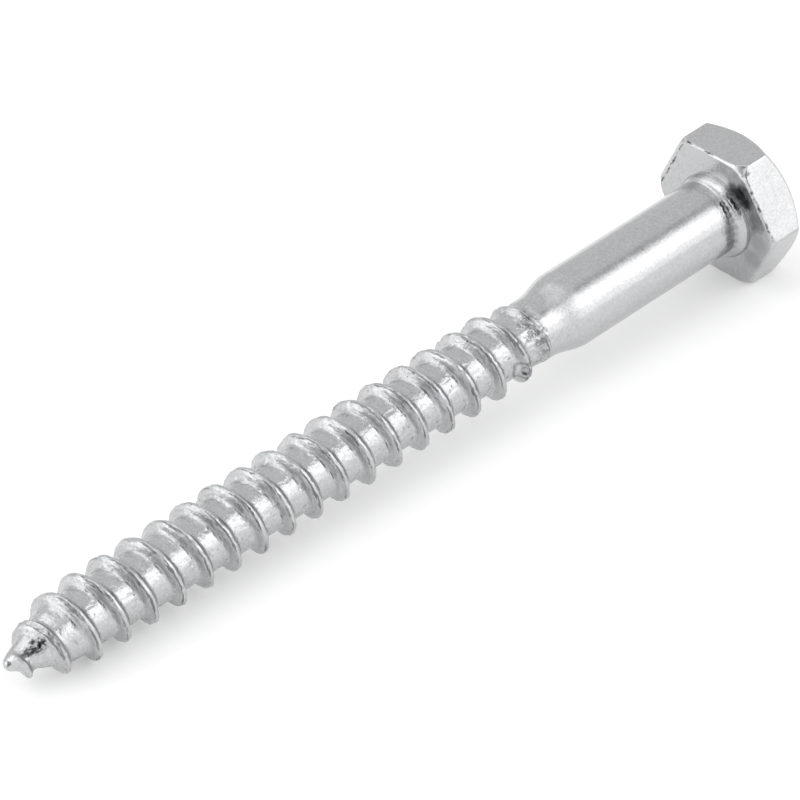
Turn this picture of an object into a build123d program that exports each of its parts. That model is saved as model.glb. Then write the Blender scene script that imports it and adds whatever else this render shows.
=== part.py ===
"""A hex-head lag screw, made from one piece of steel: head, collar, plain shank, neck and rolled thread.

The screw is modelled upright, with the tip of its point at the origin and its head at the top. It is then
laid down as it rests: on the edge of one flat of its head, and on the crest of its thread next to the point.
Millimetres throughout.
"""

import os
from math import atan2, cos, degrees, radians, sin, tan

from build123d import *

# Thread: single start, right-hand, ten turns to the inch.
PITCH = 2.54
THREAD_DIAMETER = 6.2
ROOT_DIAMETER = 4.52
CREST_WIDTH = 0.34
RIDGE_WIDTH = 1.55  # across the foot of the ridge, where it meets the root
THREAD_LENGTH = 49.2  # from the tip to the last trace of the ridge
RUN_OUT_TURNS = 1.6  # over which the ridge sinks into the neck
START_ANGLE = 142.0  # of the crest at the height of the tip, from the flat that the screw lies on

# Point.
POINT_LENGTH = 4.5  # of the cone that the root narrows to
TIP_DIAMETER = 0.8
POINT_RIDGE_LENGTH = 5.5  # below which the crests close in
LEAD_IN_HEIGHT = 1.2  # where the ridge has risen to the cone of the point's crests
LEAD_IN_DIAMETER = 3.1  # across the crest there
LEAD_IN_TURNS = 0.3  # over which the ridge rises out of the tip

# Plain part.
LENGTH = 68.4  # from the tip to the bearing face
SHANK_DIAMETER = 6.05
NECK_DIAMETER = 4.9
NECK_RISE = 1.8  # over which the root swells to the neck
NECK_LENGTH = 0.8  # beyond the thread
SHANK_CONE = 3.0  # over which the neck widens to the shank

# Head.
ACROSS_FLATS = 10.8
HEAD_HEIGHT = 3.6
TOP_FACE_DIAMETER = 9.8
TOP_CHAMFER_ANGLE = 30.0  # from the top face
CORNER_BLUNTING = 0.44  # taken off each corner at the bearing face, towards the axis
CORNER_BLUNTING_ANGLE = 35.0  # from the axis
EDGE_ROUND = 0.15  # along the edges of the bearing face
COLLAR_DIAMETER = 7.0
COLLAR_HEIGHT = 0.7
COLLAR_BEVEL = 0.2
COLLAR_FLARE = 0.9  # over which the shank widens to the collar

FOOT_DEPTH = 0.3  # how deep the ridge is rooted in the core
TURNS_PER_LENGTH = 2  # full thread is wound in lengths of about this many turns

crest_radius = THREAD_DIAMETER / 2
root_radius = ROOT_DIAMETER / 2
tip_radius = TIP_DIAMETER / 2
neck_radius = NECK_DIAMETER / 2
shank_radius = SHANK_DIAMETER / 2
collar_radius = COLLAR_DIAMETER / 2
flat_radius = ACROSS_FLATS / 2
corner_radius = flat_radius / cos(radians(30))
neck_top = THREAD_LENGTH + NECK_LENGTH
run_out_base = THREAD_LENGTH - RUN_OUT_TURNS * PITCH
head_top = LENGTH + HEAD_HEIGHT


def crest_angle(height):
    """Angle of the crest about the axis, at a height above the tip."""
    return START_ANGLE + 360 * height / PITCH


def ridge_section(foot_radius, foot_width, top_radius, top_width=CREST_WIDTH):
    """Corners of the ridge's trapezium, as distances from the axis and from the ridge's middle."""
    return [
        (foot_radius, -foot_width / 2),
        (top_radius, -top_width / 2),
        (top_radius, top_width / 2),
        (foot_radius, foot_width / 2),
    ]


def ridge_edge(low, high, base, top):
    """Helix from a corner of a ridge's lowest section to the same corner of its highest."""
    rise = top + high[1] - base - low[1]
    taper = atan2(high[0] - low[0], rise)
    pitch_on_slope = rise / (top - base) * PITCH / cos(taper)
    return Edge.make_helix(pitch_on_slope, rise, low[0], (0, 0, base + low[1]), (0, 0, 1), degrees(taper))


def ridge(low, high, base, top):
    """Ridge that climbs from base to top, while its section changes evenly from low to high."""
    edges = [ridge_edge(a, b, base, top) for a, b in zip(low, high)]
    sides = [Face.make_surface_from_curves(a, b) for a, b in zip(edges, edges[1:] + edges[:1])]
    ends = [Face(Wire.make_polygon([edge @ end for edge in edges], close=True)) for end in (0, 1)]
    return Rot(0, 0, crest_angle(base)) * Solid(Shell(sides + ends))


def thread():
    """The whole ridge, in lengths that meet face to face: lead-in, point, full thread and run-out."""
    flank_spread = (RIDGE_WIDTH - CREST_WIDTH) / (crest_radius - root_radius)
    full_foot = RIDGE_WIDTH + flank_spread * FOOT_DEPTH
    buried = ridge_section(tip_radius / 4, RIDGE_WIDTH / 2, tip_radius / 2)
    risen = ridge_section(tip_radius / 2, RIDGE_WIDTH, LEAD_IN_DIAMETER / 2)
    full = ridge_section(root_radius - FOOT_DEPTH, full_foot, crest_radius)
    sunk = ridge_section(root_radius - FOOT_DEPTH, RIDGE_WIDTH, neck_radius, CREST_WIDTH * 2)
    lead_in_base = LEAD_IN_HEIGHT - LEAD_IN_TURNS * PITCH
    full_length = run_out_base - POINT_RIDGE_LENGTH
    count = max(1, round(full_length / PITCH / TURNS_PER_LENGTH))
    joints = [POINT_RIDGE_LENGTH + full_length * k / count for k in range(count + 1)]
    return [
        ridge(buried, risen, lead_in_base, LEAD_IN_HEIGHT),
        ridge(risen, full, LEAD_IN_HEIGHT, POINT_RIDGE_LENGTH),
        *[ridge(full, full, base, top) for base, top in zip(joints, joints[1:])],
        ridge(full, sunk, run_out_base, THREAD_LENGTH),
    ]


def core():
    """Round core of the screw: point, root, neck, shank and the collar that runs into the head."""
    collar_foot = LENGTH - COLLAR_HEIGHT
    with BuildPart() as body:
        with BuildSketch(Plane.XZ):
            with BuildLine():
                Polyline(
                    (0, 0),
                    (tip_radius, 0),
                    (root_radius, POINT_LENGTH),
                    (root_radius, THREAD_LENGTH - NECK_RISE),
                    (neck_radius, THREAD_LENGTH),
                    (neck_radius, neck_top),
                    (shank_radius, neck_top + SHANK_CONE),
                    (shank_radius, collar_foot - COLLAR_FLARE),
                    (collar_radius - COLLAR_BEVEL, collar_foot),
                    (collar_radius, collar_foot + COLLAR_BEVEL),
                    (collar_radius, LENGTH + HEAD_HEIGHT / 2),
                    (0, LENGTH + HEAD_HEIGHT / 2),
                    close=True,
                )
            make_face()
        revolve(axis=Axis.Z)
    return body.part


def head():
    """Forged hexagon, chamfered above and blunted at the corners below, with a flat at angle zero."""
    chamfer_drop = (corner_radius - TOP_FACE_DIAMETER / 2) * tan(radians(TOP_CHAMFER_ANGLE))
    blunting_rise = CORNER_BLUNTING / tan(radians(CORNER_BLUNTING_ANGLE))
    with BuildPart() as body:
        with BuildSketch(Plane.XY.offset(LENGTH)):
            RegularPolygon(flat_radius, 6, major_radius=False, rotation=30)
        extrude(amount=HEAD_HEIGHT)
        with BuildSketch(Plane.XZ):
            with BuildLine():
                Polyline(
                    (0, LENGTH),
                    (corner_radius - CORNER_BLUNTING, LENGTH),
                    (corner_radius, LENGTH + blunting_rise),
                    (corner_radius, head_top - chamfer_drop),
                    (TOP_FACE_DIAMETER / 2, head_top),
                    (0, head_top),
                    close=True,
                )
            make_face()
        revolve(axis=Axis.Z, mode=Mode.INTERSECT)
        bearing_face = body.faces().sort_by(Axis.Z)[0]
        fillet(bearing_face.edges(), EDGE_ROUND)
    return body.part


def rest_contact():
    """Height above the tip of the lowest full crest on the side that the screw lies on."""
    turns_up = (crest_angle(POINT_RIDGE_LENGTH) // 360) + 1
    return (360 * turns_up - START_ANGLE) / 360 * PITCH - CREST_WIDTH / 2


def lay_down(part):
    """Turn the head to +X, and set its lowest flat and the first full crest on the ground."""
    contact = rest_contact()
    slope = atan2(flat_radius - crest_radius, LENGTH + EDGE_ROUND - contact)
    lift = (crest_radius - contact * tan(slope)) * cos(slope)
    low_end = -tip_radius * sin(slope)
    high_end = head_top * cos(slope) + TOP_FACE_DIAMETER / 2 * sin(slope)
    return Pos(-(low_end + high_end) / 2, 0, lift) * Rot(0, 90 - degrees(slope), 0) * part


screw = core().fuse(*thread(), head())
os.makedirs("parts", exist_ok=True)
export_step(lay_down(screw), "parts/lag_screw.step")
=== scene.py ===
"""The looks of a hex-head lag screw in bright zinc-plated steel, lying on a white table.

The screw is built upright, in millimetres, with its point at the origin and its head above, and is laid
down last.
"""

import math

import bmesh
import bpy
from mathutils import Matrix, Quaternion, Vector, noise


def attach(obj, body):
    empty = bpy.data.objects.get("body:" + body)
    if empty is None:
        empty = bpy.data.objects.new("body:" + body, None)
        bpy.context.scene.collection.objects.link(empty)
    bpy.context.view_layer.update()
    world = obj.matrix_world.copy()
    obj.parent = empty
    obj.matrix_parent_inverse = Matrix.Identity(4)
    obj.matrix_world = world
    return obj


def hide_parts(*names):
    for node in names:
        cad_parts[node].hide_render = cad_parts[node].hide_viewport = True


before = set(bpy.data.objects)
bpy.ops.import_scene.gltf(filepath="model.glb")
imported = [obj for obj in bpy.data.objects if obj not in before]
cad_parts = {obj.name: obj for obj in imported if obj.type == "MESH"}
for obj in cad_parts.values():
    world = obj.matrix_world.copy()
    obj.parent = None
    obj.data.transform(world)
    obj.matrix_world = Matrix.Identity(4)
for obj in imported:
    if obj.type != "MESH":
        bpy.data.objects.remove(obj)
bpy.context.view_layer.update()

# ---------------------------------------------------------------------------------------------------------
# The camera. A long lens, from above and to the left of the point, so that the screw recedes to its head.
# ---------------------------------------------------------------------------------------------------------
camera_azimuth, camera_elevation, camera_roll = (math.radians(a) for a in (-39.17, 36.82, -4.79))
camera_distance = 0.3858
camera_aim = Vector((0.00093, 0.00032, 0.00512))
toward_camera = Vector((
    math.sin(camera_azimuth) * math.cos(camera_elevation),
    -math.cos(camera_azimuth) * math.cos(camera_elevation),
    math.sin(camera_elevation),
))
camera = bpy.data.objects.new("camera", bpy.data.cameras.new("camera"))
camera.data.sensor_width = 36
camera.data.lens = 242.4
camera.data.clip_start, camera.data.clip_end = 0.01, 20
camera.rotation_mode = "QUATERNION"
camera.rotation_quaternion = toward_camera.to_track_quat("Z", "Y") @ Quaternion((0, 0, 1), camera_roll)
camera.location = camera_aim + toward_camera * camera_distance
bpy.context.scene.collection.objects.link(camera)
bpy.context.scene.camera = camera

# ---------------------------------------------------------------------------------------------------------
# The finish. Steel wire, cold-formed and thread-rolled, then barrel-plated with zinc: a pale neutral silver
# that mirrors softly and shows the skin of the steel under it as a fine speckle.
# ---------------------------------------------------------------------------------------------------------
pitch = 2.54
start_angle = 142.0  # of the crest at the height of the tip, from the flat that the screw lies on


def linear(code):
    """Linear colour of an sRGB hex code."""
    parts = [int(code[k:k + 2], 16) / 255 for k in (0, 2, 4)]
    return [c / 12.92 if c <= 0.04045 else ((c + 0.055) / 1.055) ** 2.4 for c in parts] + [1.0]


def add(tree, kind, settings=None, *values, **named):
    """Add a node with its settings, and link or set its inputs, in order or by name (i6 is the seventh).

    A node that is given as a value stands for its first output.
    """
    node = tree.nodes.new(kind)
    settings = {"operation": settings} if isinstance(settings, str) else settings or {}
    for key, value in settings.items():
        setattr(node, key, value)
    given = [(node.inputs[k], value) for k, value in enumerate(values)]
    for name, value in named.items():
        which = int(name[1:]) if name[1:].isdigit() else name.replace("_", " ")
        given.append((node.inputs[which], value))
    for socket, value in given:
        if isinstance(value, bpy.types.Node):
            value = value.outputs[0]
        if isinstance(value, bpy.types.NodeSocket):
            tree.links.new(value, socket)
        else:
            socket.default_value = value
    return node


def shaped(tree, value, points, high=1.0):
    """A value read off a smooth curve through points, whose own values run from 0 to high."""
    first, last = points[0][0], points[-1][0]
    along = add(tree, "ShaderNodeMapRange", None, Value=value, From_Min=first, From_Max=last)
    curve = add(tree, "ShaderNodeFloatCurve", None, Value=along)
    line = curve.mapping.curves[0]
    spots = [((x - first) / (last - first), y / high) for x, y in points]
    line.points[0].location, line.points[-1].location = spots[0], spots[-1]
    for spot in spots[1:-1]:
        line.points.new(*spot)
    for point in line.points:
        point.handle_type = "AUTO_CLAMPED"
    curve.mapping.update()
    return add(tree, "ShaderNodeMath", "MULTIPLY", curve, high)


def round_place(angle, off_axis, above):
    """The place at an angle round the screw in degrees, a distance off its axis and a height."""
    return off_axis * math.cos(math.radians(angle)), off_axis * math.sin(math.radians(angle)), above


bright_zinc = bpy.data.materials.new("bright_zinc_plating")
bright_zinc.use_nodes = True
zinc = bright_zinc.node_tree
zinc.nodes.clear()
place = add(zinc, "ShaderNodeTexCoord").outputs["Object"]
rolled = add(zinc, "ShaderNodeAttribute", {"attribute_name": "rolled"}).outputs["Fac"]
flank = add(zinc, "ShaderNodeAttribute", {"attribute_name": "flank"}).outputs["Fac"]
upright = add(zinc, "ShaderNodeAttribute", {"attribute_name": "upright"}).outputs["Vector"]
along_ridge = add(zinc, "ShaderNodeAttribute", {"attribute_name": "along_ridge"}).outputs["Vector"]
upright_x, upright_y, upright_z = add(zinc, "ShaderNodeSeparateXYZ", None, upright).outputs
drawn_out = add(zinc, "ShaderNodeVectorMath", "MULTIPLY", upright, (1.0, 1.0, 0.3))

# Noise, each with the place that it reads, its scale, its detail and its roughness.
grain, patch, wave, drag, pits, wander, folds, blotch, streaks, mottle, breaks = (
    add(zinc, "ShaderNodeTexNoise", None, Vector=where, Scale=scale, Detail=detail, Roughness=roughness)
    for where, scale, detail, roughness in (
        (place, 5200.0, 1.0, 0.5),  # grains of the zinc, drawn 0.15 mm across to show, ten times as large
        (place, 1600.0, 3.0, 0.6),  # patches of half a millimetre where the steel is smoother or rougher
        (place, 420.0, 1.0, 0.4),  # waves of two millimetres, left in the wire by drawing it
        (along_ridge, 1.0, 3.0, 0.65),  # marks that the dies drag along the ridge, 0.2 mm by 2 mm
        (place, 2600.0, 2.0, 0.5),  # pits
        (upright, 0.7, 2.0, 0.6),  # how lines stray from their way
        (along_ridge, 1.7, 3.0, 0.65),  # where the laps are open
        (upright, 0.55, 3.0, 0.65),  # stretches that are more worn than others
        (drawn_out, 3.6, 3.0, 0.65),  # streaks in the scale on the cone
        (upright, 2.4, 3.0, 0.7),  # mottle in the single marks
        (upright, 1.5, 2.0, 0.6),  # where the trimmed edge's dark line breaks off
    )
)
pit = add(zinc, "ShaderNodeMapRange", {"interpolation_type": "SMOOTHSTEP"}, pits, 0.66, 0.78, 0.0, 1.0)
pitted = add(zinc, "ShaderNodeMath", "MULTIPLY_ADD", rolled, 0.6, 0.4)
pit = add(zinc, "ShaderNodeMath", "MULTIPLY", pit, pitted)

# Laps: broken dark lines before and behind the crest, where the metal folded as it was squeezed up.
round_turn = add(zinc, "ShaderNodeMath", "ARCTAN2", upright_y, upright_x)
round_turn = add(zinc, "ShaderNodeMath", "DIVIDE", round_turn, math.tau)
ridge_phase = add(zinc, "ShaderNodeMath", "DIVIDE", upright_z, pitch)
ridge_phase = add(zinc, "ShaderNodeMath", "SUBTRACT", ridge_phase, round_turn)
ridge_phase = add(zinc, "ShaderNodeMath", "ADD", ridge_phase, start_angle / 360)
ridge_phase = add(zinc, "ShaderNodeMath", "FRACT", ridge_phase)
stray = add(zinc, "ShaderNodeMath", "MULTIPLY_ADD", wander, 0.1, -0.05)
ridge_phase = add(zinc, "ShaderNodeMath", "ADD", ridge_phase, stray)
laps_grime_and_painted_shade = 0.0
for middle_phase, half_width, strength in ((0.945, 0.05, 1.0), (0.05, 0.03, 0.5), (0.8, 0.03, 0.5)):
    off_line = add(zinc, "ShaderNodeMath", "SUBTRACT", ridge_phase, middle_phase)
    off_line = add(zinc, "ShaderNodeMath", "ABSOLUTE", off_line)
    line = add(zinc, "ShaderNodeMapRange", None, off_line, 0.0, half_width, strength, 0.0)
    laps_grime_and_painted_shade = add(zinc, "ShaderNodeMath", "MAXIMUM", laps_grime_and_painted_shade, line)
torn = add(zinc, "ShaderNodeMath", "ADD", folds, blotch)
torn_contrast, torn_least = 2.6, -3.42
torn = add(zinc, "ShaderNodeMath", "MULTIPLY_ADD", torn, torn_contrast, torn_least)
laps_grime_and_painted_shade = add(zinc, "ShaderNodeMath", "ADD", laps_grime_and_painted_shade, torn)
# The dies met on one side of the screw, and most of the laps are there.
dies_met = (-0.67, -0.74, 0.0)
met = add(zinc, "ShaderNodeVectorMath", "DOT_PRODUCT", upright, dies_met).outputs["Value"]
met = add(zinc, "ShaderNodeMapRange", None, met, 0.5, 2.6, -0.3, 0.25)
laps_grime_and_painted_shade = add(zinc, "ShaderNodeMath", "ADD", laps_grime_and_painted_shade, met)
laps_grime_and_painted_shade = add(zinc, "ShaderNodeMapRange", {"interpolation_type": "SMOOTHSTEP"}, laps_grime_and_painted_shade, 0.0, 0.4, 0.0, 0.62)
laps_grime_and_painted_shade = add(zinc, "ShaderNodeMath", "MULTIPLY", laps_grime_and_painted_shade, rolled)

# The knob where the dies let go: the seam round it, the pit in it and the fold beside that. Each has its
# angle, its distance from the axis and its height, then how dark it is at each distance from there.
worn = add(zinc, "ShaderNodeMapRange", None, blotch, 0.4, 0.56, 0.25, 0.9)
stray = add(zinc, "ShaderNodeMath", "MULTIPLY_ADD", wander, 0.9, -0.45)
for angle, off_axis, above, darkness in (
    (283, 2.5, 46.55, [(0, 0), (0.74, 0), (0.88, 0.6), (0.96, 0.6), (1.1, 0), (3, 0)]),
    (286, 2.6, 46.5, [(0, 1), (0.16, 1), (0.3, 0), (3, 0)]),
    (279, 2.6, 46.65, [(0, 0), (0.3, 0), (0.4, 0.6), (0.5, 0), (3, 0)]),
):
    away = add(zinc, "ShaderNodeVectorMath", "DISTANCE", upright, round_place(angle, off_axis, above))
    away = add(zinc, "ShaderNodeMath", "ADD", away.outputs["Value"], stray)
    mark = add(zinc, "ShaderNodeMath", "MULTIPLY", shaped(zinc, away, darkness), worn)
    laps_grime_and_painted_shade = add(zinc, "ShaderNodeMath", "MAXIMUM", laps_grime_and_painted_shade, mark)

# Single marks. Each has its angle, its distance from the axis and its height; how much heights count in it
# (less than 1 draws it out along the screw); how far it is whole and where it ends; the noise that breaks it
# up and how strongly; and how dark it is.
for angle, off_axis, above, squeeze, full, clear, texture, amount, weight in (
    # scale left at the tip
    (214, 0.42, 0.24, 1.0, 0.0, 0.3, mottle, 3.0, 0.75),
    (236, 0.36, 0.12, 1.0, 0.0, 0.26, mottle, 3.0, 0.7),
    # painted dark reflection, streaked, where the cone of the point mirrors the camera
    (228, 1.02, 1.5, 0.6, 0.0, 0.5, streaks, 3.6, 0.75),
    (226, 1.25, 2.0, 0.6, 0.05, 0.6, streaks, 3.6, 0.85),
    (223, 1.45, 2.5, 0.6, 0.1, 0.65, streaks, 3.6, 0.95),
    # the torn side of the ridge's last trace
    (210, 2.4, 48.2, 0.85, 0.0, 0.8, mottle, 3.4, 0.45),
    (232, 2.4, 48.3, 0.85, 0.1, 0.8, mottle, 3.4, 0.55),
    (254, 2.4, 48.5, 0.85, 0.1, 0.8, mottle, 3.4, 0.55),
    (276, 2.4, 48.7, 0.85, 0.0, 0.7, mottle, 3.4, 0.45),
    # the corner of the bearing face that rolled over, and its point: grime, and a painted dark reflection
    (215, 4.0, 68.5, 0.6, 0.15, 1.2, mottle, 0.5, 0.85),
    (223, 4.2, 68.5, 0.6, 0.25, 1.3, mottle, 0.5, 0.92),
    (233, 4.3, 68.5, 0.6, 0.15, 1.2, mottle, 0.5, 0.9),
    (214, 5.85, 68.8, 0.8, 0.0, 0.5, mottle, 1.2, 0.75),
    # painted dark reflection of the shank's underside on the lower bearing face beside it
    (256, 4.5, 68.4, 0.6, 0.3, 1.7, mottle, 0.3, 0.22),
    (278, 4.5, 68.4, 0.6, 0.3, 1.7, mottle, 0.3, 0.25),
    (302, 4.5, 68.4, 0.6, 0.3, 1.7, mottle, 0.3, 0.25),
    # the cone of the collar: some grime, and painted shade and a painted dark reflection
    (217, 3.38, 68.1, 1.3, 0.2, 0.55, mottle, 0.25, 0.7),
    (225, 3.4, 68.1, 1.5, 0.2, 0.55, mottle, 0.25, 0.85),
    (233, 3.42, 68.1, 1.5, 0.2, 0.55, mottle, 0.25, 0.85),
    (240, 3.44, 68.1, 1.5, 0.1, 0.5, mottle, 0.25, 0.6),
    # the line at the collar's foot: some grime, and painted shade in the crease where the shank flares
    (221, 3.04, 67.5, 1.2, 0.1, 0.45, mottle, 0.3, 0.6),
    (230, 3.04, 67.48, 1.2, 0.15, 0.5, mottle, 0.3, 0.75),
    (239, 3.04, 67.44, 1.2, 0.15, 0.5, mottle, 0.3, 0.7),
    (248, 3.03, 67.4, 1.0, 0.15, 0.55, mottle, 0.3, 0.55),
    (259, 3.03, 67.3, 0.8, 0.2, 0.65, mottle, 0.4, 0.45),
    (271, 3.03, 67.25, 0.8, 0.2, 0.65, mottle, 0.4, 0.45),
    (283, 3.03, 67.22, 0.8, 0.2, 0.65, mottle, 0.4, 0.45),
    (295, 3.03, 67.2, 0.8, 0.2, 0.65, mottle, 0.4, 0.4),
):
    squeezed = add(zinc, "ShaderNodeVectorMath", "MULTIPLY", upright, (1.0, 1.0, squeeze))
    centre = round_place(angle, off_axis, above * squeeze)
    away = add(zinc, "ShaderNodeVectorMath", "DISTANCE", squeezed, centre).outputs["Value"]
    mark = add(zinc, "ShaderNodeMapRange", None, away, full, clear, 1.0, 0.0)
    broken = add(zinc, "ShaderNodeMath", "SUBTRACT", texture, 0.5)
    broken = add(zinc, "ShaderNodeMath", "MULTIPLY", broken, amount)
    mark = add(zinc, "ShaderNodeMath", "ADD", mark, broken)
    smooth = {"interpolation_type": "SMOOTHSTEP"}
    mark = add(zinc, "ShaderNodeMapRange", smooth, mark, 0.25, 0.95, 0.0, weight)
    within_mark = add(zinc, "ShaderNodeMath", "LESS_THAN", away, clear)
    mark = add(zinc, "ShaderNodeMath", "MULTIPLY", mark, within_mark)
    laps_grime_and_painted_shade = add(zinc, "ShaderNodeMath", "MAXIMUM", laps_grime_and_painted_shade, mark)

# Broken dark lines along the edges of the bearing face: partly the ragged burr where it was trimmed, partly
# a painted dark reflection along its rounded edge. Each has the way its flat faces, its distance from the
# axis, its height, its half width, where it runs along the flat, and its breaks.
stray = add(zinc, "ShaderNodeMath", "MULTIPLY_ADD", mottle, 0.5, -0.25)
for angle, off_axis, above, half_width, start, end, least in (
    (240, 5.4, 68.5, 0.17, -2.6, 2.95, 0.44),
    (120, 5.0, 68.4, 0.1, -2.9, 2.8, 0.46),
    (180, 5.38, 68.47, 0.16, -3.0, 2.9, 0.5),
):
    facing = round_place(angle, 1, 0)
    off_edge = add(zinc, "ShaderNodeVectorMath", "DOT_PRODUCT", upright, facing).outputs["Value"]
    off_edge = add(zinc, "ShaderNodeMath", "SUBTRACT", off_edge, off_axis)
    off_edge = add(zinc, "ShaderNodeMath", "ABSOLUTE", add(zinc, "ShaderNodeMath", "ADD", off_edge, stray))
    off_face = add(zinc, "ShaderNodeMath", "SUBTRACT", upright_z, above)
    off_face = add(zinc, "ShaderNodeMath", "ABSOLUTE", off_face)
    off_line = add(zinc, "ShaderNodeMath", "ADD", off_edge, off_face)
    line = add(zinc, "ShaderNodeMapRange", None, off_line, half_width, 0.4 * half_width, 0.0, 1.0)
    along = (-facing[1], facing[0], 0)
    along = add(zinc, "ShaderNodeVectorMath", "DOT_PRODUCT", upright, along).outputs["Value"]
    along = add(zinc, "ShaderNodeMath", "COMPARE", along, (start + end) / 2, (end - start) / 2)
    line = add(zinc, "ShaderNodeMath", "MULTIPLY", line, along)
    whole = add(zinc, "ShaderNodeMapRange", None, breaks, least, least + 0.12, 0.0, 0.85)
    line = add(zinc, "ShaderNodeMath", "MULTIPLY", line, whole)
    laps_grime_and_painted_shade = add(zinc, "ShaderNodeMath", "MAXIMUM", laps_grime_and_painted_shade, line)

# The colour: pale zinc in patches, duller and streaked on the flanks and a little darker there as painted
# shade, flecked, with dirt in pits and laps, and painted shade and dark reflections in some single marks and
# edge lines.
zinc_low, zinc_high, flank_low, flank_high, dirt_and_shade_colour = (
    linear(code) for code in ("BABBBC", "C9CACB", "989A9C", "DEDFE0", "2E2F31")
)
tone = add(zinc, "ShaderNodeMix", {"data_type": "RGBA"}, patch, i6=zinc_low, i7=zinc_high).outputs[2]
# The flanks: streaked by the dies, and a little darker as painted shade for the dark that they mirror.
dull_and_shaded_flank = add(zinc, "ShaderNodeMix", {"data_type": "RGBA"}, drag, i6=flank_low, i7=flank_high).outputs[2]
tone = add(zinc, "ShaderNodeMix", {"data_type": "RGBA"}, flank, i6=tone, i7=dull_and_shaded_flank).outputs[2]
fleck = add(zinc, "ShaderNodeMapRange", None, grain, 0.3, 0.7, 0.915, 1.055)
flecked = {"data_type": "RGBA", "blend_type": "MULTIPLY"}
tone = add(zinc, "ShaderNodeMix", flecked, 1.0, i6=tone, i7=fleck).outputs[2]
# Dirt in pits and laps, with the painted shade and painted dark reflections of some single marks and edge
# lines.
dirt_and_painted_shade = add(zinc, "ShaderNodeMath", {"operation": "MULTIPLY_ADD", "use_clamp": True}, pit, 0.4, laps_grime_and_painted_shade)
tone = add(zinc, "ShaderNodeMix", {"data_type": "RGBA"}, dirt_and_painted_shade, i6=tone, i7=dirt_and_shade_colour).outputs[2]

# Roughness by patches, more of it where the dies pressed and on the flanks.
rough = add(zinc, "ShaderNodeMapRange", None, patch, 0.3, 0.7, 0.17, 0.25)
rough = add(zinc, "ShaderNodeMath", "MULTIPLY_ADD", rolled, 0.05, rough)
rough = add(zinc, "ShaderNodeMath", "MULTIPLY_ADD", flank, 0.05, rough)

# Relief, with depths in metres. Patches and drag marks stand out where the dies pressed.
pressed = add(zinc, "ShaderNodeMath", "MULTIPLY_ADD", rolled, 0.62, 0.08)
dragged = add(zinc, "ShaderNodeMath", "MULTIPLY", rolled, 0.4)
relief = add(zinc, "ShaderNodeBump", None, Strength=0.5, Distance=0.00006, Height=wave)
for strength, depth, form, sunk in (
    (0.4, 0.00002, grain, False),
    (pressed, 0.0001, patch, False),
    (dragged, 0.00007, drag, False),
    (0.6, 0.00004, pit, True),
    (0.7, 0.00007, laps_grime_and_painted_shade, True),
):
    relief = add(
        zinc, "ShaderNodeBump", {"invert": sunk},
        Strength=strength, Distance=depth, Height=form, Normal=relief,
    )
plating = add(
    zinc, "ShaderNodeBsdfPrincipled", None,
    Base_Color=tone, Metallic=1.0, Roughness=rough, Normal=relief,
)
add(zinc, "ShaderNodeOutputMaterial", None, plating)

# ---------------------------------------------------------------------------------------------------------
# The thread. Rolled between flat dies in one pass: a single right-hand ridge of ten turns to the inch that
# rises out of the point, runs up the root and sinks into the neck. One sheet is wound round the screw in
# rows that climb with the ridge, so that its crest and flanks stay clean, and its edges are merged.
# ---------------------------------------------------------------------------------------------------------
mm = 0.001
thread_foot, thread_end = 0.3, 49.4
root_radius, crest_radius = 2.26, 3.09
mean_radius = 3.0  # of the round sheet on which dents and tears are drawn
widest = 3.5
columns = 132
rows_a_turn = 32
turns = 22

winding = bpy.data.node_groups.new("rolled_thread", "GeometryNodeTree")
winding.interface.new_socket("Geometry", in_out="OUTPUT", socket_type="NodeSocketGeometry")
sizes = {}
for name, kind, value in (
    ("Pitch", "NodeSocketFloat", pitch),
    ("Start Turn", "NodeSocketFloat", start_angle / 360),
    ("Foot", "NodeSocketFloat", thread_foot),
    ("End", "NodeSocketFloat", thread_end),
    ("Columns", "NodeSocketInt", columns),
    ("Rows A Turn", "NodeSocketInt", rows_a_turn),
    ("Turns", "NodeSocketInt", turns),
    ("Finish", "NodeSocketMaterial", bright_zinc),
):
    sizes[winding.interface.new_socket(name, in_out="INPUT", socket_type=kind).identifier] = value
given = add(winding, "NodeGroupInput").outputs

# The sheet: across it a column for each step round the screw, up it a row for each step of the ridge.
rows = add(winding, "ShaderNodeMath", "MULTIPLY", given["Rows A Turn"], given["Turns"])
sheet = add(
    winding, "GeometryNodeMeshGrid", None, given["Columns"], rows,
    add(winding, "ShaderNodeMath", "ADD", given["Columns"], 1.0),
    add(winding, "ShaderNodeMath", "ADD", rows, 1.0),
)
spot = add(winding, "ShaderNodeSeparateXYZ", None, add(winding, "GeometryNodeInputPosition")).outputs
round_share = add(winding, "ShaderNodeMath", "DIVIDE", spot[0], given["Columns"])
round_share = add(winding, "ShaderNodeMath", "ADD", round_share, 0.5)
row = add(winding, "ShaderNodeMath", "MULTIPLY_ADD", rows, 0.5, spot[1])
row_turn = add(winding, "ShaderNodeMath", "DIVIDE", row, given["Rows A Turn"])
row_share = add(winding, "ShaderNodeMath", "ADD", row_turn, 0.00001)
row_share = add(winding, "ShaderNodeMath", "FRACT", row_share)
whole_turn = add(winding, "ShaderNodeMath", "SUBTRACT", row_turn, row_share)
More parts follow.
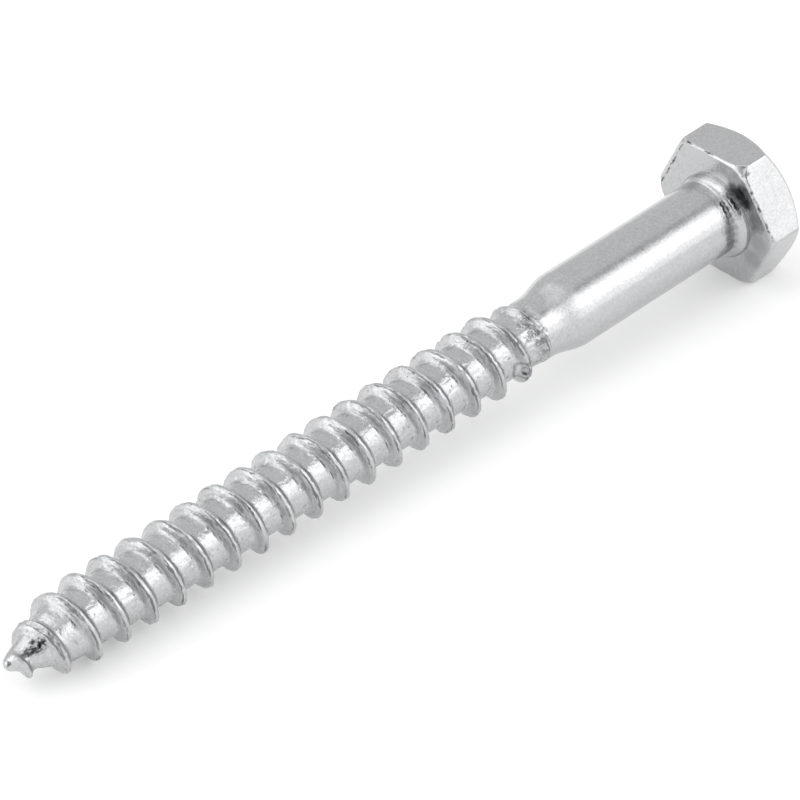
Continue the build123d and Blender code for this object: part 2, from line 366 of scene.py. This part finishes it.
# Rows lie closest where the ridge bends most: at its crest and at its feet.
phase = shaped(winding, row_share, [
    (0, 0), (0.09, 0.05), (0.18, 0.11), (0.27, 0.2), (0.39, 0.4), (0.48, 0.65), (0.57, 0.755),
    (0.65, 0.8), (0.74, 0.875), (0.81, 0.925), (0.88, 0.95), (0.95, 0.975), (1, 1),
])
climb = add(winding, "ShaderNodeMath", "ADD", whole_turn, phase)
climb = add(winding, "ShaderNodeMath", "ADD", climb, round_share)
started = add(winding, "ShaderNodeMath", "ADD", given["Start Turn"], 1.0)
climb = add(winding, "ShaderNodeMath", "SUBTRACT", climb, started)
height = add(winding, "ShaderNodeMath", "MULTIPLY", climb, given["Pitch"])
height = add(winding, "ShaderNodeMath", "MAXIMUM", height, given["Foot"])
height = add(winding, "ShaderNodeMath", "MINIMUM", height, given["End"])
angle = add(winding, "ShaderNodeMath", "MULTIPLY", round_share, math.tau)
cosine = add(winding, "ShaderNodeMath", "COSINE", angle)
sine = add(winding, "ShaderNodeMath", "SINE", angle)

# The ridge over one pitch, from crest to crest, and how far the root and the crest stand from the axis.
ridge = shaped(winding, phase, [
    (0, 1), (0.03, 0.995), (0.055, 0.975), (0.075, 0.92), (0.092, 0.82), (0.11, 0.69), (0.14, 0.5),
    (0.18, 0.3), (0.215, 0.17), (0.245, 0.09), (0.28, 0.04), (0.33, 0.01), (0.42, 0), (0.58, 0),
    (0.68, 0.012), (0.75, 0.035), (0.79, 0.08), (0.82, 0.17), (0.85, 0.33), (0.89, 0.6), (0.92, 0.79),
    (0.94, 0.89), (0.955, 0.955), (0.975, 0.99), (1, 1),
])
root = shaped(winding, height, [
    (0.3, 0.5), (1, 0.82), (2.1, 1.28), (3.5, 1.86), (4.5, 2.18), (5.5, root_radius), (10, root_radius),
    (40, root_radius), (47.2, root_radius), (48.2, 2.32), (49.4, 2.45),
], widest)
crest = shaped(winding, height, [
    (0.3, 0.5), (0.5, 0.75), (0.9, 1.35), (1.3, 1.6), (2.5, 2.0), (3.8, 2.7), (5.1, 2.98),
    (6.3, crest_radius), (10, crest_radius), (40, crest_radius), (45.4, 3.08), (46.8, 2.95), (48.2, 2.7),
    (49.1, 2.5), (49.4, 2.45),
], widest)
within = shaped(winding, height, [(0.3, 0), (0.6, 0.6), (1.2, 1), (20, 1), (47, 1), (48.9, 1), (49.4, 0)])

# Wear: dents in the crest and shallow hollows all over, 0.12 and 0.06 mm deep at most.
turning = add(
    winding, "ShaderNodeCombineXYZ", None,
    add(winding, "ShaderNodeMath", "MULTIPLY", cosine, mean_radius),
    add(winding, "ShaderNodeMath", "MULTIPLY", sine, mean_radius), height,
)
dent = add(winding, "ShaderNodeTexNoise", None, Vector=turning, Scale=0.9, Detail=2.0, Roughness=0.5)
dent = add(winding, "ShaderNodeMapRange", None, dent, 0.42, 0.75, 0.0, 0.12)
hollow = add(winding, "ShaderNodeTexNoise", None, Vector=turning, Scale=2.2, Detail=1.0, Roughness=0.5)
hollow = add(winding, "ShaderNodeMapRange", None, hollow, 0.58, 0.72, 0.0, 0.06)
wear = add(winding, "ShaderNodeMath", "MULTIPLY_ADD", dent, ridge, hollow)
# The last trace of the ridge is torn on one side, 0.1 mm deep at most.
torn = add(
    winding, "ShaderNodeMath", "MULTIPLY",
    shaped(winding, height, [(47.2, 0), (47.7, 1), (49.1, 1), (49.4, 0.3)]),
    shaped(winding, round_share, [(0, 0), (0.48, 0), (0.54, 1), (0.82, 1), (0.88, 0), (1, 0)]),
)
tears = add(winding, "ShaderNodeTexNoise", None, Vector=turning, Scale=2.0, Detail=3.0, Roughness=0.7)
tears = add(winding, "ShaderNodeMapRange", None, tears, 0.46, 0.6, 0.0, 1.0)
tears = add(winding, "ShaderNodeMath", "MULTIPLY", tears, torn)
wear = add(winding, "ShaderNodeMath", "MULTIPLY_ADD", tears, 0.1, wear)
# Where the dies let go, the metal of the ridge folded over in a knob, which stands 0.15 mm proud of it.
knob_angle, knob_height = 281, 46.5
knob_place = round_place(knob_angle, mean_radius, knob_height)
knob = add(winding, "ShaderNodeVectorMath", "DISTANCE", turning, knob_place).outputs["Value"]
bulge = shaped(winding, knob, [(0, 1), (0.5, 0.9), (0.9, 0), (2, 0)])
wear = add(winding, "ShaderNodeMath", "MULTIPLY_ADD", bulge, -0.15, wear)
reach = add(winding, "ShaderNodeMath", "SUBTRACT", crest, root)
reach = add(winding, "ShaderNodeMath", "MULTIPLY_ADD", reach, ridge, root)
wear = add(winding, "ShaderNodeMath", "MULTIPLY", wear, within)
reach = add(winding, "ShaderNodeMath", "SUBTRACT", reach, wear)
reach = add(winding, "ShaderNodeMath", "MULTIPLY", reach, mm)
wound_place = add(
    winding, "ShaderNodeCombineXYZ", None,
    add(winding, "ShaderNodeMath", "MULTIPLY", reach, cosine),
    add(winding, "ShaderNodeMath", "MULTIPLY", reach, sine),
    add(winding, "ShaderNodeMath", "MULTIPLY", height, mm),
)

# What the finish reads, stored while the sheet is still flat: where the dies pressed, the flanks, which it
# makes rougher, streaked and a little darker as painted shade, and a place along the ridge, which goes round
# a circle once in a pitch so that it has no break.
flank_share = shaped(winding, phase, [
    (0, 0.8), (0.05, 0.8), (0.1, 1), (0.24, 0.8), (0.32, 0.1), (0.4, 0), (0.7, 0), (0.79, 0.5), (0.84, 1),
    (0.94, 1), (0.965, 0.9), (1, 0.8),
])
flank_share = add(winding, "ShaderNodeMath", "MULTIPLY", flank_share, within)
ridge_length = add(winding, "ShaderNodeMath", "MULTIPLY", climb, math.tau * mean_radius)
round_ridge = add(winding, "ShaderNodeMath", "MULTIPLY", phase, math.tau)
round_cosine = add(winding, "ShaderNodeMath", "COSINE", round_ridge)
round_sine = add(winding, "ShaderNodeMath", "SINE", round_ridge)
ridge_place = add(
    winding, "ShaderNodeCombineXYZ", None,
    add(winding, "ShaderNodeMath", "MULTIPLY", ridge_length, 0.5),
    add(winding, "ShaderNodeMath", "MULTIPLY", round_cosine, 2.2),
    add(winding, "ShaderNodeMath", "MULTIPLY", round_sine, 2.2),
)
for name, kind, value in (
    ("rolled", "FLOAT", within),
    ("flank", "FLOAT", flank_share),
    ("along_ridge", "FLOAT_VECTOR", ridge_place),
):
    sheet = add(
        winding, "GeometryNodeStoreNamedAttribute", {"data_type": kind, "domain": "POINT"},
        Geometry=sheet, Name=name, Value=value,
    )
thread = add(winding, "GeometryNodeSetPosition", None, Geometry=sheet, Position=wound_place)
thread = add(winding, "GeometryNodeMergeByDistance", None, Geometry=thread, Distance=0.000001)
thread = add(winding, "GeometryNodeRealizeInstances", None, thread)
thread = add(winding, "GeometryNodeSetMaterial", None, Geometry=thread, Material=given["Finish"])
add(winding, "NodeGroupOutput", None, thread)

thread_blank = bpy.data.objects.new("thread_blank", bpy.data.meshes.new("thread_blank"))
bpy.context.scene.collection.objects.link(thread_blank)
wound = thread_blank.modifiers.new("wound", "NODES")
wound.node_group = winding
for identifier, value in sizes.items():
    wound[identifier] = value
bpy.context.view_layer.update()
wound_thread = thread_blank.evaluated_get(bpy.context.evaluated_depsgraph_get())
thread_mesh = bpy.data.meshes.new_from_object(wound_thread)
bpy.data.objects.remove(thread_blank)
screw = bmesh.new()
screw.from_mesh(thread_mesh)
bpy.data.meshes.remove(thread_mesh)

# ---------------------------------------------------------------------------------------------------------
# The point's end, the neck, the shank and the collar. Plain round forms of the drawn wire: the neck swells
# to the shank's full width, and the shank flares to a collar where the head was struck.
# ---------------------------------------------------------------------------------------------------------
length = 68.4
shank_radius = 3.02
collar_radius = 3.49
trace_radius = 2.45  # of the blank where the ridge's last trace sinks into it
neck_foot, neck_top = 50.0, 53.0
lean = 0.35  # how far the struck collar stands to one side, as a share of what stands out from the shank
lean_way = math.radians(316)


def ring(points):
    """A ring of vertices at points, which are given in millimetres."""
    return [screw.verts.new(Vector(point) * mm) for point in points]


def round_points(height, radius):
    """Points of a round ring. What stands out from the shank was struck a little to one side."""
    points = []
    for k in range(columns):
        turn = k * math.tau / columns
        reach = radius + lean * max(0.0, radius - shank_radius) * math.cos(turn - lean_way)
        points.append((reach * math.cos(turn), reach * math.sin(turn), height))
    return points


def skin(lower, upper):
    """Faces between two rings."""
    for k in range(columns):
        n = (k + 1) % columns
        screw.faces.new((lower[k], lower[n], upper[n], upper[k]))


def eased(first, last, steps):
    """Rings from one height and radius to another, rounded at both ends."""
    (z0, r0), (z1, r1) = first, last
    rings = []
    for k in range(steps + 1):
        rings.append((z0 + (z1 - z0) * k / steps, r0 + (r1 - r0) * (1 - math.cos(math.pi * k / steps)) / 2))
    return rings


tip_rings = [(0.02, 0.12), (0.06, 0.24), (0.12, 0.34), (0.2, 0.43), (0.3, 0.5)]
plain_rings = [(thread_end, trace_radius), (49.7, trace_radius)]
plain_rings += eased((neck_foot, 2.46), (neck_top, shank_radius), 16)
plain_rings += [(neck_top + 12.8 * k / 23, shank_radius) for k in range(1, 24)] + [(66.2, shank_radius)]
# The collar: a small step, a cone, and a rounded edge against the bearing face.
plain_rings += [
    (67.0, shank_radius), (67.5, 3.022), (67.55, 3.035), (67.6, 3.07), (67.65, 3.125), (67.7, 3.185),
    (67.76, 3.245), (67.83, 3.3), (67.92, 3.35), (68.02, 3.4), (68.12, 3.445), (68.2, 3.475), (68.28, 3.49),
    (68.33, 3.485), (68.37, 3.46), (68.385, 3.45), (68.395, 3.46), (length, collar_radius),
]
tip = screw.verts.new((0, 0, 0))
lower = ring(round_points(*tip_rings[0]))
for k in range(columns):
    screw.faces.new((lower[k], tip, lower[(k + 1) % columns]))
for height_radius in tip_rings[1:]:
    upper = ring(round_points(*height_radius))
    skin(lower, upper)
    lower = upper
lower = ring(round_points(*plain_rings[0]))
for height_radius in plain_rings[1:]:
    upper = ring(round_points(*height_radius))
    skin(lower, upper)
    lower = upper

# ---------------------------------------------------------------------------------------------------------
# The head. A hexagon struck and trimmed from the wire's end: chamfered round its top, blunted at the corners
# below, with a ragged burr where the trimming die left the bearing face. Its top is plain.
# ---------------------------------------------------------------------------------------------------------
flat_radius = 5.4
corner_radius = flat_radius / math.cos(math.radians(30))
corner_round = 0.25
head_height = 3.6
top_face_radius = 5.03
chamfer_slope = 0.8
half_flat = flat_radius * math.tan(math.radians(30))
head_top = length + head_height
# How far the trimming cut each corner back at the bearing face, and how high it reached up the corner, from
# the corner next to the flat that the screw lies on. One corner was caught more than the others.
corner_cuts = [(0.44, 0.63), (0.36, 0.5), (0.34, 0.5), (0.36, 0.8), (0.3, 0.4), (0.44, 0.63)]


def hexagon_place(k):
    """Angle and reach of a column on the hexagon. Columns lie closer together towards its corners."""
    side = round(k * 6 / columns)
    share = k * 6 / columns - side
    along = half_flat * (0.75 * math.sin(math.pi * share) + 0.25 * 2 * share)
    turn, reach = math.atan2(along, flat_radius), math.hypot(flat_radius, along)
    off_corner = math.radians(30) - abs(turn)
    hub = corner_radius - corner_round / math.cos(math.radians(30))
    aside = hub * math.sin(off_corner)
    if aside < corner_round * 0.5:
        reach = hub * math.cos(off_corner) + math.sqrt(corner_round ** 2 - aside ** 2)
    return math.radians(60 * side) + turn, reach


def rounded(corners, radii, steps):
    """Points along a line through corners, each rounded by an arc that starts its radius away from it."""
    line = [corners[0]]
    for before, corner, after, radius in zip(corners, corners[1:], corners[2:], radii):
        b, c, a = Vector(before), Vector(corner), Vector(after)
        start = c + (b - c).normalized() * min(radius, (b - c).length * 0.45)
        end = c + (a - c).normalized() * min(radius, (a - c).length * 0.45)
        for k in range(steps + 1):
            t = k / steps
            line.append(tuple(start * (1 - t) ** 2 + c * 2 * t * (1 - t) + end * t ** 2))
    return line + [corners[-1]]


def swell(angle, start, peak, end):
    """A smooth rise from 0 at start to 1 at peak and back to 0 at end, all in degrees."""
    share = (angle - start) / (peak - start) if angle < peak else (end - angle) / (end - peak)
    share = max(0.0, min(1.0, share))
    return share * share * (3 - 2 * share)


def head_profile(k):
    """Heights and radii of a column over the head, from the collar's foot to the middle of the top."""
    turn, reach = hexagon_place(k)
    angle = math.degrees(turn) % 360
    roll = 0.22 * swell(angle, 194, 213, 246)
    rim = swell(angle, 80, 110, 162)
    depth, rise = corner_cuts[int(turn / math.radians(60)) % 6]
    cut_reach = min(reach, corner_radius - depth)
    top_reach = min(reach, top_face_radius)
    spot = Vector((math.cos(turn), math.sin(turn), 0)) * cut_reach
    ragged = max(0.0, noise.noise(spot * 1.7)) + 0.5 * max(0.0, noise.noise(spot * 4.0))
    fine = noise.noise(spot * 6.0)
    cut_top = length + max(0.16, (reach - cut_reach) * rise / depth)
    bevel = 0.16 + 0.05 * fine + 0.16 * rim
    chamfer_foot = head_top - max(0.02, (reach - top_face_radius) * chamfer_slope)
    # Each corner of the profile has its place on a sharp head, and roll moves it in and up from there.
    collar_reach = collar_radius + lean * (collar_radius - shank_radius) * math.cos(turn - lean_way)
    corners = [
        (length, collar_reach),
        (length, cut_reach - 0.6 + (4.5 - cut_reach) * roll),
        (length + 0.1 * roll, cut_reach - 0.5 + (5.0 - cut_reach) * roll),
        (length - 0.05 * ragged + 0.3 * roll, cut_reach - bevel + (5.0 - cut_reach + bevel) * roll),
        (length + 0.5 * bevel + 0.45 * roll, cut_reach - 0.02 + (5.25 - cut_reach) * roll),
        (max(cut_top, length + 1.0 * roll) + 0.05 * ragged, reach),
        (chamfer_foot, reach),
        (head_top, top_reach),
        (head_top, 0.6),
    ]
    rounding = (
        0.1 + 0.3 * roll, 0.06 + 0.3 * roll, 0.06 + 0.2 * roll, 0.06 + 0.25 * roll, 0.1 + 0.3 * roll,
        0.12, 0.16,
    )
    return rounded(corners, rounding, 3)


profiles = [head_profile(k) for k in range(columns)]
head_rings = []
for step in range(len(profiles[0])):
    points = []
    for k in range(columns):
        z, r = profiles[k][step]
        turn = hexagon_place(k)[0] if step else k * math.tau / columns
        points.append((r * math.cos(turn), r * math.sin(turn), z))
    head_rings.append(points)
for step, points in enumerate(head_rings):
    if step:
        upper = ring(points)
        skin(lower, upper)
        lower = upper
    if step % 4 == 0 and step < len(head_rings) - 1:
        for share in (0.05, 0.3, 0.7, 0.95):
            between = zip(points, head_rings[step + 1])
            upper = ring([tuple(Vector(a).lerp(Vector(b), share)) for a, b in between])
            skin(lower, upper)
            lower = upper
middle = screw.verts.new((0, 0, head_top * mm))
for k in range(columns):
    screw.faces.new((lower[k], lower[(k + 1) % columns], middle))

bmesh.ops.remove_doubles(screw, verts=screw.verts, dist=0.000002)
bmesh.ops.recalc_face_normals(screw, faces=screw.faces)

# The finish reads each place as it is here, upright and in millimetres.
upright_layer = screw.verts.layers.float_vector.new("upright")
for vert in screw.verts:
    vert[upright_layer] = vert.co / mm

# Laid down: it rests on the edge of its lowest flat and on the thread's first full crest.
slope = math.radians(2.12103)
lift, slide = 2.85923, -36.0586
lay = Matrix.Translation((slide * mm, 0, lift * mm)) @ Matrix.Rotation(math.pi / 2 - slope, 4, "Y")
bmesh.ops.transform(screw, matrix=lay, verts=screw.verts)
screw_mesh = bpy.data.meshes.new("zinc_lag_screw")
screw.to_mesh(screw_mesh)
screw.free()
screw_mesh.materials.clear()
screw_mesh.materials.append(bright_zinc)
screw_mesh.polygons.foreach_set("use_smooth", [True] * len(screw_mesh.polygons))
screw_object = bpy.data.objects.new("zinc_lag_screw", screw_mesh)
bpy.context.scene.collection.objects.link(screw_object)
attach(screw_object, "root")
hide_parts("lag_screw")

# ---------------------------------------------------------------------------------------------------------
# The table and the light. A matt white table in a pale grey room, with soft boxes that the plating mirrors:
# three in front on the right, one overhead, one behind and two low on the left. The plating also mirrors a
# small dark flag high on the right and the dark of the camera. A lamp overhead gives the soft shadow.
# ---------------------------------------------------------------------------------------------------------
white_paper = bpy.data.materials.new("white_paper")
white_paper.use_nodes = True
paper = white_paper.node_tree
paper.nodes.clear()
path = add(paper, "ShaderNodeLightPath").outputs
seen = add(paper, "ShaderNodeMath", "MAXIMUM", path["Is Camera Ray"], path["Is Glossy Ray"])
seen = add(paper, "ShaderNodeMath", "MAXIMUM", seen, path["Is Transmission Ray"])
glow = add(paper, "ShaderNodeMath", "MULTIPLY", seen, 0.24)
glow = add(paper, "ShaderNodeEmission", None, linear("FFFFFF"), glow)
matt = add(paper, "ShaderNodeBsdfDiffuse", None, linear("EAEAEA"))
add(paper, "ShaderNodeOutputMaterial", None, add(paper, "ShaderNodeAddShader", None, glow, matt))
table_mesh = bpy.data.meshes.new("table")
table_mesh.from_pydata([(-4, -4, 0), (4, -4, 0), (4, 4, 0), (-4, 4, 0)], [], [(0, 1, 2, 3)])
table_mesh.materials.append(white_paper)
table = bpy.data.objects.new("table", table_mesh)
bpy.context.scene.collection.objects.link(table)

room = bpy.data.worlds.new("room")
bpy.context.scene.world = room
room.use_nodes = True
air = room.node_tree
air.nodes.clear()
toward = add(air, "ShaderNodeTexCoord").outputs["Generated"]
level = 0.84
overhead_way = Vector((-0.35, 0.10, 0.93))
# Each has the way to its middle, how far it is whole and where it ends in degrees, and its strength.
for middle_way, full, fade, strength in (
    ((0.506, -0.62, 0.60), 14, 25, 0.5),
    ((0.506, -0.829, 0.238), 14, 44, 0.74),
    ((0.16, -0.70, 0.69), 12, 25, 0.62),
    (overhead_way, 9, 19.5, 1.03),
    ((-0.27, 0.62, 0.74), 8, 26, 0.8),
    ((0.506, -0.30, 0.81), 3, 15, -0.3),
    ((-0.87, 0.42, 0.20), 12, 28, 1.35),
    ((-0.97, -0.06, 0.17), 6, 18, 0.7),
):
    middle_way = Vector(middle_way).normalized()
    nearness = add(air, "ShaderNodeVectorMath", "DOT_PRODUCT", toward, middle_way).outputs["Value"]
    softbox = add(
        air, "ShaderNodeMapRange", {"interpolation_type": "SMOOTHSTEP"},
        nearness, math.cos(math.radians(fade)), math.cos(math.radians(full)), 0.0, strength,
    )
    level = add(air, "ShaderNodeMath", "ADD", softbox, level)
dark_full, dark_fade = math.radians(15), math.radians(24)
nearness = add(air, "ShaderNodeVectorMath", "DOT_PRODUCT", toward, toward_camera).outputs["Value"]
shade = add(
    air, "ShaderNodeMapRange", {"interpolation_type": "SMOOTHSTEP"},
    nearness, math.cos(dark_fade), math.cos(dark_full), 1.0, 0.03,
)
level = add(air, "ShaderNodeMath", "MULTIPLY", level, shade)
background = add(air, "ShaderNodeBackground", None, linear("FFFFFF"), level)
add(air, "ShaderNodeOutputWorld", None, background)

overhead = bpy.data.lights.new("overhead_softbox", "AREA")
overhead.shape, overhead.size = "DISK", 1.0
overhead.energy = 0.4
overhead_holder = bpy.data.objects.new("overhead_softbox", overhead)
overhead_holder.location = overhead_way * 0.8
overhead_holder.rotation_mode = "QUATERNION"
overhead_holder.rotation_quaternion = overhead_way.to_track_quat("Z", "Y")
bpy.context.scene.collection.objects.link(overhead_holder)

bpy.context.scene.view_settings.view_transform = "Standard"
bpy.context.view_layer.update()
